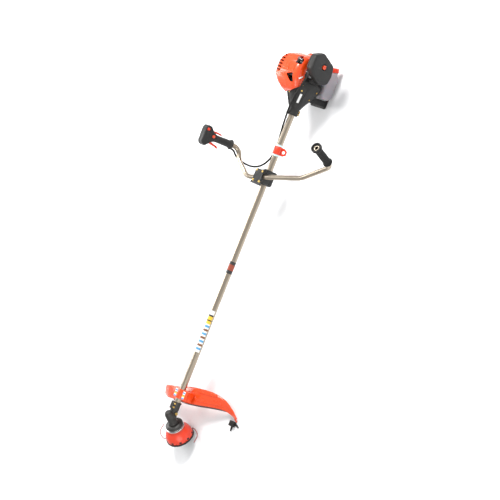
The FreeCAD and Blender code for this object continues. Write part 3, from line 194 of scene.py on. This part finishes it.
def math_node(tree, operation, first, second=None, clamp=False):
    node = tree.nodes.new("ShaderNodeMath")
    node.operation = operation
    node.use_clamp = clamp
    for index, value in enumerate((first, second)):
        if value is None:
            continue
        if isinstance(value, (int, float)):
            node.inputs[index].default_value = value
        else:
            tree.links.new(value, node.inputs[index])
    return node.outputs[0]


def make_grain():
    """Fine moulded or cast grain: a mask for colour and a height for bump."""
    tree, given, result = group_shell(
        "grain", [("Scale", "NodeSocketFloat", 900.0), ("Stretch", "NodeSocketVector", (1, 1, 1))],
        [("Mask", "NodeSocketFloat"), ("Height", "NodeSocketFloat"), ("Blotch", "NodeSocketFloat")])
    place = tree.nodes.new("ShaderNodeTexCoord")
    stretch = tree.nodes.new("ShaderNodeVectorMath")
    stretch.operation = "MULTIPLY"
    tree.links.new(place.outputs["Object"], stretch.inputs[0])
    tree.links.new(given.outputs["Stretch"], stretch.inputs[1])
    fine = tree.nodes.new("ShaderNodeTexNoise")
    fine.inputs["Detail"].default_value = 4.0
    tree.links.new(stretch.outputs[0], fine.inputs["Vector"])
    tree.links.new(given.outputs["Scale"], fine.inputs["Scale"])
    broad = tree.nodes.new("ShaderNodeTexNoise")
    broad.inputs["Scale"].default_value = 22.0
    broad.inputs["Detail"].default_value = 5.0
    tree.links.new(stretch.outputs[0], broad.inputs["Vector"])
    tree.links.new(fine.outputs["Fac"], result.inputs["Mask"])
    tree.links.new(fine.outputs["Fac"], result.inputs["Height"])
    tree.links.new(broad.outputs["Fac"], result.inputs["Blotch"])
    return tree


def make_edge_wear():
    """A broken mask along outer edges, where handling rubs the surface."""
    tree, given, result = group_shell(
        "edge_wear", [("Radius", "NodeSocketFloat", 0.0012), ("Amount", "NodeSocketFloat", 0.5)],
        [("Mask", "NodeSocketFloat")])
    bevel = tree.nodes.new("ShaderNodeBevel")
    bevel.samples = 4
    tree.links.new(given.outputs["Radius"], bevel.inputs["Radius"])
    surface = tree.nodes.new("ShaderNodeNewGeometry")
    compare = tree.nodes.new("ShaderNodeVectorMath")
    compare.operation = "DOT_PRODUCT"
    tree.links.new(bevel.outputs["Normal"], compare.inputs[0])
    tree.links.new(surface.outputs["Normal"], compare.inputs[1])
    edge = math_node(tree, "MULTIPLY", math_node(tree, "SUBTRACT", 1.0, compare.outputs["Value"]), 9.0, True)
    place = tree.nodes.new("ShaderNodeTexCoord")
    broken = tree.nodes.new("ShaderNodeTexNoise")
    broken.inputs["Scale"].default_value = 140.0
    broken.inputs["Detail"].default_value = 6.0
    tree.links.new(place.outputs["Object"], broken.inputs["Vector"])
    patch = math_node(tree, "SUBTRACT", broken.outputs["Fac"], 0.42)
    patch = math_node(tree, "MULTIPLY", patch, 6.0, True)
    mask = math_node(tree, "MULTIPLY", edge, patch)
    tree.links.new(math_node(tree, "MULTIPLY", mask, given.outputs["Amount"], True), result.inputs["Mask"])
    return tree


def make_dust():
    """Light dust that settles on faces that look up, in patches."""
    tree, given, result = group_shell("dust", [("Amount", "NodeSocketFloat", 0.2)], [("Mask",
                                                                                      "NodeSocketFloat")])
    surface = tree.nodes.new("ShaderNodeNewGeometry")
    split = tree.nodes.new("ShaderNodeSeparateXYZ")
    tree.links.new(surface.outputs["Normal"], split.inputs[0])
    place = tree.nodes.new("ShaderNodeTexCoord")
    patchy = tree.nodes.new("ShaderNodeTexNoise")
    patchy.inputs["Scale"].default_value = 35.0
    patchy.inputs["Detail"].default_value = 8.0
    tree.links.new(place.outputs["Object"], patchy.inputs["Vector"])
    upward = math_node(tree, "MULTIPLY", split.outputs["Z"], 1.0, True)
    mask = math_node(tree, "MULTIPLY", upward, patchy.outputs["Fac"])
    tree.links.new(math_node(tree, "MULTIPLY", mask, given.outputs["Amount"], True), result.inputs["Mask"])
    return tree


GRAIN = make_grain()
EDGE_WEAR = make_edge_wear()
DUST = make_dust()


def placed_group(tree, group, **values):
    node = tree.nodes.new("ShaderNodeGroup")
    node.node_tree = group
    for label, value in values.items():
        node.inputs[label].default_value = value
    return node


def mixed(tree, factor, first, second):
    node = tree.nodes.new("ShaderNodeMix")
    node.data_type = "RGBA"
    tree.links.new(factor, node.inputs[0])
    for socket, value in ((node.inputs[6], first), (node.inputs[7], second)):
        if isinstance(value, tuple):
            socket.default_value = (*value, 1.0)
        else:
            tree.links.new(value, socket)
    return node.outputs[2]


def shade(colour, factor):
    return tuple(min(1.0, channel * factor) for channel in colour)


def finish(name, colour, rough, grain=900.0, depth=0.0001, metallic=0.0, coat=0.0, worn=None, wear=0.4,
           dust=0.12, uneven=0.12, stretch=(1, 1, 1), paint=None, glow=0.0, spec=0.5):
    """One material: colour with slow unevenness, rubbed edges, dust, grain in bump and roughness."""
    material = bpy.data.materials.new(name)
    material.use_nodes = True
    tree = material.node_tree
    shader = tree.nodes["Principled BSDF"]
    grainy = placed_group(tree, GRAIN, Scale=grain, Stretch=stretch)
    base = paint(tree) if paint else colour
    if paint:
        darker = mixed(tree, math_node(tree, "MULTIPLY", grainy.outputs["Blotch"], uneven), base, (0.1,
                                                                                                   0.1, 0.1))
    else:
        darker = mixed(tree, grainy.outputs["Blotch"], shade(colour, 1 - uneven), shade(colour, 1 + uneven))
    edges = placed_group(tree, EDGE_WEAR, Amount=wear)
    rubbed = mixed(tree, edges.outputs["Mask"], darker, worn or shade(colour, 1.7))
    settled = placed_group(tree, DUST, Amount=dust)
    dusty = mixed(tree, settled.outputs["Mask"], rubbed, (0.42, 0.38, 0.31))
    tree.links.new(dusty, shader.inputs["Base Color"])
    spread = math_node(tree, "MULTIPLY", grainy.outputs["Blotch"], 0.22)
    level = math_node(tree, "ADD", spread, rough - 0.11)
    level = math_node(tree, "ADD", level, math_node(tree, "MULTIPLY", settled.outputs["Mask"], 0.3), True)
    tree.links.new(level, shader.inputs["Roughness"])
    shader.inputs["Metallic"].default_value = metallic
    shader.inputs["Specular IOR Level"].default_value = spec
    shader.inputs["Coat Weight"].default_value = coat
    if coat:
        shader.inputs["Coat Roughness"].default_value = 0.08
    if glow:
        shader.inputs["Subsurface Weight"].default_value = glow
        shader.inputs["Subsurface Scale"].default_value = 0.01
    bump = tree.nodes.new("ShaderNodeBump")
    bump.inputs["Strength"].default_value = 0.6
    bump.inputs["Distance"].default_value = depth
    tree.links.new(grainy.outputs["Height"], bump.inputs["Height"])
    tree.links.new(bump.outputs["Normal"], shader.inputs["Normal"])
    return material


# ---- finishes ----
ORANGE = (0.80, 0.060, 0.002)
RED = (0.72, 0.036, 0.006)
DARK = (0.016, 0.016, 0.0155)
BLACK = (0.008, 0.008, 0.0085)
ALLOY = (0.40, 0.40, 0.41)

FINISHES = {
    "orange_plastic": finish("orange_plastic", ORANGE, 0.27, 1400, 0.00003, coat=0.35, wear=0.2, uneven=0.05,
                             dust=0.03),
    "orange_paint": finish("orange_paint", ORANGE, 0.34, 900, 0.00005, worn=(0.5, 0.5, 0.5), wear=0.2,
                           dust=0.03),
    "red_plastic": finish("red_plastic", RED, 0.32, 1600, 0.00004, coat=0.2, wear=0.2, uneven=0.06,
                          dust=0.03),
    "dark_plastic": finish("dark_plastic", DARK, 0.52, 2200, 0.00012, worn=(0.1, 0.1, 0.095), uneven=0.16,
                           dust=0.04, spec=0.35),
    "black_plastic": finish("black_plastic", BLACK, 0.5, 1900, 0.0001, worn=(0.06, 0.06, 0.06), dust=0.04,
                            spec=0.35),
    "rubber": finish("rubber", (0.009, 0.009, 0.009), 0.68, 2600, 0.00016, worn=(0.03, 0.03, 0.03), dust=0.05,
                     spec=0.3),
    "tube_aluminium": finish("tube_aluminium", (0.40, 0.34, 0.265), 0.30, 420, 0.00002, metallic=1.0,
                             wear=0.2,
                             stretch=(0.04, 1, 1), uneven=0.08, dust=0.02),
    "cast_alloy": finish("cast_alloy", ALLOY, 0.46, 1300, 0.00022, metallic=0.85, worn=(0.7, 0.7, 0.7)),
    "dark_cast": finish("dark_cast", (0.03, 0.028, 0.026), 0.42, 1100, 0.0002, metallic=0.35,
                        worn=(0.3, 0.3, 0.3), dust=0.04),
    "steel": finish("steel", (0.50, 0.50, 0.49), 0.24, 700, 0.00002, metallic=1.0, wear=0.3, uneven=0.08,
                    dust=0.02),
    "zinc_steel": finish("zinc_steel", (0.66, 0.45, 0.13), 0.3, 900, 0.00002, metallic=1.0, wear=0.3,
                         uneven=0.2),
    "dark_steel": finish("dark_steel", (0.02, 0.019, 0.018), 0.5, 900, 0.0001, metallic=0.6,
                         worn=(0.3, 0.28, 0.25), dust=0.03),
    "tank_plastic": finish("tank_plastic", (0.30, 0.275, 0.30), 0.4, 1000, 0.00005, glow=0.3, wear=0.1,
                           dust=0.02),
    "nylon_line": finish("nylon_line", (0.26, 0.006, 0.004), 0.36, 1500, 0.00002, glow=0.1, wear=0.0,
                         dust=0.0),
}
FINISHES["sleeve_film"] = finish("sleeve_film", (0.62, 0.85, 0.86), 0.4, 1200, 0.00002, wear=0.05, dust=0.02)
FINISHES["label_white"] = finish("label_white", (0.86, 0.86, 0.84), 0.42, 1500, 0.00002, wear=0.0, dust=0.02)
slots = {entry["node"]: entry["material_slot"] for entry in record["subparts"]}


def clothe(piece, material):
    piece.data.materials.clear()
    piece.data.materials.append(material)


for name, node in frame["nodes"].items():
    clothe(node, FINISHES[slots[name]])
for line in lines:
    clothe(line, FINISHES["nylon_line"])
clothe(throttle_cable, FINISHES["rubber"])


# ---- printed films: plain blocks of colour, with nothing written on them ----
def blocks(tree, axis, start, end, bands):
    """Constant bands of colour between two places on one axis; bands are (share, colour)."""
    place = tree.nodes.new("ShaderNodeTexCoord")
    split = tree.nodes.new("ShaderNodeSeparateXYZ")
    tree.links.new(place.outputs["Object"], split.inputs[0])
    offset = math_node(tree, "SUBTRACT", split.outputs[axis], start)
    share = math_node(tree, "DIVIDE", offset, end - start, True)
    ramp = tree.nodes.new("ShaderNodeValToRGB")
    ramp.color_ramp.interpolation = "CONSTANT"
    ramp.color_ramp.elements[0].color = (*bands[0][1], 1)
    ramp.color_ramp.elements[1].position = bands[1][0]
    ramp.color_ramp.elements[1].color = (*bands[1][1], 1)
    for position, colour in bands[2:]:
        ramp.color_ramp.elements.new(position).color = (*colour, 1)
    tree.links.new(share, ramp.inputs[0])
    return ramp.outputs[0]


WHITE = (0.85, 0.84, 0.80)
SKY = (0.10, 0.35, 0.62)
YELLOW = (0.85, 0.55, 0.03)
BROWN = (0.22, 0.09, 0.04)
INK = (0.02, 0.02, 0.02)
BAND = (0.838, 0.894)
STRIP = (1.070, 1.265)
strip_bands = [(0.0, WHITE), (0.10, INK), (0.14, YELLOW), (0.22, INK), (0.25, YELLOW), (0.32, WHITE)]
for step in range(7):
    strip_bands.append((0.35 + step * 0.09, SKY if step % 2 == 0 else BROWN))
    strip_bands.append((0.40 + step * 0.09, WHITE))
band_bands = [(0.0, INK), (0.24, (0.30, 0.05, 0.02)), (0.72, INK)]
FINISHES["band_film"] = finish("band_film", WHITE, 0.4, wear=0.0, dust=0.02,
                               paint=lambda tree: blocks(tree, 0, *BAND, band_bands))
FINISHES["strip_film"] = finish("strip_film", WHITE, 0.4, wear=0.0, dust=0.02,
                                paint=lambda tree: blocks(tree, 0, *STRIP, strip_bands))
GUARD_LABEL = (1.446, 1.481)
label_bands = [(0.0, WHITE), (0.12, SKY), (0.3, WHITE), (0.42, INK), (0.5, YELLOW), (0.68, WHITE), (0.82,
                                                                                                    SKY)]
FINISHES["guard_film"] = finish("guard_film", WHITE, 0.4, wear=0.0, dust=0.02,
                                paint=lambda tree: blocks(tree, 0, *GUARD_LABEL, label_bands))


# ---- modelling helpers ----
def refined(node, body=MACHINE, round_by=0.0006, angle=32.0, levels=2):
    """A copy of a CAD shell, welded, with its sharp edges rounded and its curves shaded smooth."""
    deselect()
    source = frame["nodes"][node]
    piece = source.copy()
    piece.data = source.data.copy()
    piece.name = node + "_shell"
    bpy.context.scene.collection.objects.link(piece)
    piece.parent = None
    piece.matrix_world = Matrix.Identity(4)
    for key in list(piece.keys()):
        del piece[key]
    bpy.context.view_layer.objects.active = piece
    piece.select_set(True)
    bpy.ops.object.mode_set(mode="EDIT")
    bpy.ops.mesh.select_all(action="SELECT")
    bpy.ops.mesh.remove_doubles(threshold=0.000005)
    bpy.ops.mesh.dissolve_limited(angle_limit=math.radians(0.5))
    bpy.ops.object.mode_set(mode="OBJECT")
    bevel = piece.modifiers.new("rounded", "BEVEL")
    bevel.width = round_by
    bevel.segments = levels
    bevel.limit_method = "ANGLE"
    bevel.angle_limit = math.radians(angle)
    bevel.use_clamp_overlap = True
    bevel.harden_normals = False
    bpy.ops.object.modifier_apply(modifier="rounded")
    bpy.ops.object.shade_smooth_by_angle(angle=math.radians(40))
    clothe(piece, FINISHES[slots[node]])
    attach(piece, body)
    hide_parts(node)
    deselect()
    return piece


BODY_OF = {node: body for body, members in record["behaviour"]["bodies"].items() for node in members}
ROUNDED = {
    "cylinder_cover": 0.0012, "starter_housing": 0.0012, "guard": 0.0009, "clutch_housing": 0.0010,
    "throttle_handle_left": 0.0008, "throttle_handle_right": 0.0008, "clamp_middle": 0.0012,
    "clamp_caps": 0.0012,
    "harness_lug": 0.0008, "gearbox_housing": 0.0010, "head_housing": 0.0008, "head_base": 0.0008,
    "fuel_tank": 0.0010, "tank_stand": 0.0010, "air_filter_cover": 0.0008, "fuel_cap": 0.0006,
    "throttle_trigger": 0.0006, "throttle_lockout": 0.0006, "guard_bracket": 0.0010, "muffler": 0.0008,
    "left_grip": 0.0005, "dust_cup": 0.0005, "drive_disc": 0.0004, "support_flange": 0.0004,
    "bump_knob": 0.0008,
    "guard_skirt": 0.0005, "line_cutter_blade": 0.0003, "carburetor": 0.0006, "starter_grip": 0.0008,
    "fasteners": 0.0003, "filter_knob": 0.0004, "crankcase": 0.0010, "choke_lever": 0.0005,
    "cylinder": 0.0005,
    "air_filter_box": 0.0006, "stop_switch": 0.0005, "start_throttle_button": 0.0005,
}
shown = dict(frame["nodes"])
for name, width in ROUNDED.items():
    shown[name] = refined(name, BODY_OF[name], width)
bpy.context.view_layer.update()

# ---- pieces that the castings and mouldings carry ----
def kept(piece, name, finish_name, body=MACHINE):
    """Apply what is left of the piece's place and turn, and give it its name, finish and body."""
    deselect()
    piece.select_set(True)
    bpy.context.view_layer.objects.active = piece
    for modifier in list(piece.modifiers):
        bpy.ops.object.modifier_apply(modifier=modifier.name)
    bpy.ops.object.transform_apply(location=True, rotation=True, scale=True)
    bpy.ops.object.shade_smooth_by_angle(angle=math.radians(40))
    piece.name = name
    clothe(piece, FINISHES[finish_name])
    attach(piece, body)
    deselect()
    return piece


def thicken(piece, thick, soft=0.0):
    wall = piece.modifiers.new("wall", "SOLIDIFY")
    wall.thickness = thick
    wall.offset = 1.0
    if soft:
        edge = piece.modifiers.new("soft_edge", "BEVEL")
        edge.width = soft
        edge.segments = 3
        edge.limit_method = "ANGLE"
        edge.angle_limit = math.radians(50)


def tube_wrap(name, span, radius, thick, finish_name, facing=None, arc=360.0):
    """A film wrapped round the shaft, all the way or over an arc that faces one way."""
    deselect()
    middle = (span[0] + span[1]) / 2
    bpy.ops.mesh.primitive_cylinder_add(vertices=96, radius=radius, depth=span[1] - span[0],
                                        end_fill_type="NOTHING",
                                        location=(middle, 0, SHAFT_Z), rotation=(0, math.pi / 2, 0))
    piece = bpy.context.object
    bpy.ops.object.transform_apply(location=False, rotation=True, scale=False)
    if facing:
        way = Vector(facing).normalized()
        limit = math.cos(math.radians(arc / 2))
        bpy.ops.object.mode_set(mode="EDIT")
        bpy.ops.mesh.select_mode(type="FACE")
        bpy.ops.mesh.select_all(action="DESELECT")
        bpy.ops.object.mode_set(mode="OBJECT")
        for face in piece.data.polygons:
            face.select = face.normal.dot(way) < limit
        bpy.ops.object.mode_set(mode="EDIT")
        bpy.ops.mesh.delete(type="FACE")
        bpy.ops.object.mode_set(mode="OBJECT")
    thicken(piece, thick)
    return kept(piece, name, finish_name)


def strip(name, node, start, end, width, facing, thick, finish_name, soft=0.0):
    """A strip laid on a CAD surface from one place to another, seen along facing."""
    start = Vector(start)
    end = Vector(end)
    way = Vector(facing).normalized()
    run = end - start
    run = run - way * run.dot(way)
    ahead = run.normalized()
    turn = Matrix((ahead, way.cross(ahead), way)).transposed().to_euler()
    deselect()
    bpy.ops.mesh.primitive_grid_add(x_subdivisions=max(8, int(run.length / 0.004)), y_subdivisions=6, size=1,
                                    location=(start + end) / 2 + way * 0.05, rotation=turn)
    piece = bpy.context.object
    piece.scale = (run.length, width, 1)
    lie = piece.modifiers.new("lie", "SHRINKWRAP")
    lie.target = shown[node]
    lie.wrap_method = "PROJECT"
    lie.use_project_z = True
    lie.use_positive_direction = False
    lie.use_negative_direction = True
    bpy.ops.object.transform_apply(location=False, rotation=False, scale=True)
    thicken(piece, thick, soft)
    return kept(piece, name, finish_name)


UP = (0, 0, 1)
SKEW = (0, 0.34, 0.94)
tube_wrap("shaft_band", BAND, TUBE_R + 0.00005, 0.00025, "band_film")
tube_wrap("shaft_strip", STRIP, TUBE_R + 0.00005, 0.0002, "strip_film", SKEW, 116.0)

BRACKET_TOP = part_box("guard_bracket")[1][2]
for side in (-1, 1):
    y = side * 0.0262
    strip("guard_label_left" if side > 0 else "guard_label_right", "guard_bracket", (GUARD_LABEL[0], y,
                                                                                     BRACKET_TOP),
          (GUARD_LABEL[1], y, BRACKET_TOP), 0.0155, UP, 0.0002, "guard_film")

WELL_OUTSIDE = 0.6


def seen_on(node, x, low):
    """Where a line of sight from the left and above meets a node, and which way its surface faces."""
    across = Vector((0, 0.71, 0.70)).normalized()
    down = Vector((0, 0.70, -0.71)).normalized()
    start = Vector((x, 0, SHAFT_Z)) + down * low + across * WELL_OUTSIDE
    hit, place, normal, _ = shown[node].ray_cast(start, -across)
    if not hit:
        raise RuntimeError("nothing of " + node + " lies there")
    return place, normal


def film(name, node, here, there, width, thick, finish_name, soft=0.0):
    first, facing = seen_on(node, *here)
    last, _ = seen_on(node, *there)
    return strip(name, node, first, last, width, facing, thick, finish_name, soft)


film("housing_label", "clutch_housing", (0.046, 0.006), (0.086, 0.003), 0.010, 0.0003, "label_white",
     0.0001)
film("cover_label", "cylinder_cover", (-0.010, -0.030), (-0.024, -0.016), 0.007, 0.0003, "label_white",
     0.0001)
FLUTES = [((-0.064, -0.090), (-0.034, -0.090)), ((-0.060, -0.066), (-0.032, -0.066)),
          ((-0.060, -0.038), (-0.004, -0.034))]
for number, (here, there) in enumerate(FLUTES, 1):
    film("cover_flute_%d" % number, "cylinder_cover", here, there, 0.006, 0.0014, "orange_plastic",
         0.0006)

# long pleats that stiffen the guard's wings
PLEATS = [((1.424, 0.052), (1.409, 0.150), 0.011), ((1.462, 0.060), (1.437, 0.175), 0.010),
          ((1.440, 0.020), (1.462, 0.060), 0.008), ((1.452, -0.062), (1.468, -0.150), 0.010)]
for number, (here, there, width) in enumerate(PLEATS, 1):
    strip("guard_pleat_%d" % number, "guard", (*here, 0.09), (*there, 0.09), width, UP, 0.0030,
          "orange_plastic",
          0.0014)


def screw_head(name, node, x, low, radius=0.0036, tall=0.0028):
    """A plated socket screw standing on a casting."""
    place, normal = seen_on(node, x, low)
    deselect()
    bpy.ops.mesh.primitive_cylinder_add(vertices=24, radius=radius, depth=tall,
                                        location=place + normal * tall / 2,
                                        rotation=normal.to_track_quat("Z", "Y").to_euler())
    piece = bpy.context.object
    bpy.ops.object.mode_set(mode="EDIT")
    bpy.ops.mesh.select_mode(type="FACE")
    bpy.ops.mesh.select_all(action="DESELECT")
    bpy.ops.object.mode_set(mode="OBJECT")
    for face in piece.data.polygons:
        face.select = face.normal.z > 0.9
    bpy.ops.object.mode_set(mode="EDIT")
    bpy.ops.mesh.inset(thickness=radius * 0.45, depth=0)
    bpy.ops.mesh.extrude_region_move(TRANSFORM_OT_translate={"value": tuple(-normal * tall * 0.6)})
    bpy.ops.object.mode_set(mode="OBJECT")
    edge = piece.modifiers.new("edge", "BEVEL")
    edge.width = 0.0004
    edge.segments = 2
    edge.limit_method = "ANGLE"
    return kept(piece, name, "zinc_steel")


for number, (x, low) in enumerate([(0.032, 0.003), (0.056, 0.047), (0.016, 0.066), (0.052, -0.046)], 1):
    screw_head("housing_screw_%d" % number, "clutch_housing", x, low)

# black strips round the dome's lower edge: painted shade that stands for the dark insides of its vent slots
SLOT_SHADES = 10
DOME_EDGE = 0.101
for number in range(SLOT_SHADES):
    turn = 2 * math.pi * (number + 0.5) / SLOT_SHADES
    out = HEAD_FORWARD * math.cos(turn) + Vector((0, math.sin(turn), 0))
    middle = HEAD_AT + HEAD_DOWN * DOME_EDGE + out * 0.062
    piece = strip("dome_slot_shade_%d" % (number + 1), "head_housing", middle - HEAD_DOWN * 0.0045,
                  middle + HEAD_DOWN * 0.0045, 0.010, out, 0.0004, "black_plastic", 0.0001)
    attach(piece, "head")

clothe(frame["nodes"]["spark_plug"], FINISHES["rubber"])
clothe(frame["nodes"]["lug_sleeve"], FINISHES["sleeve_film"])

bpy.context.view_layer.update()
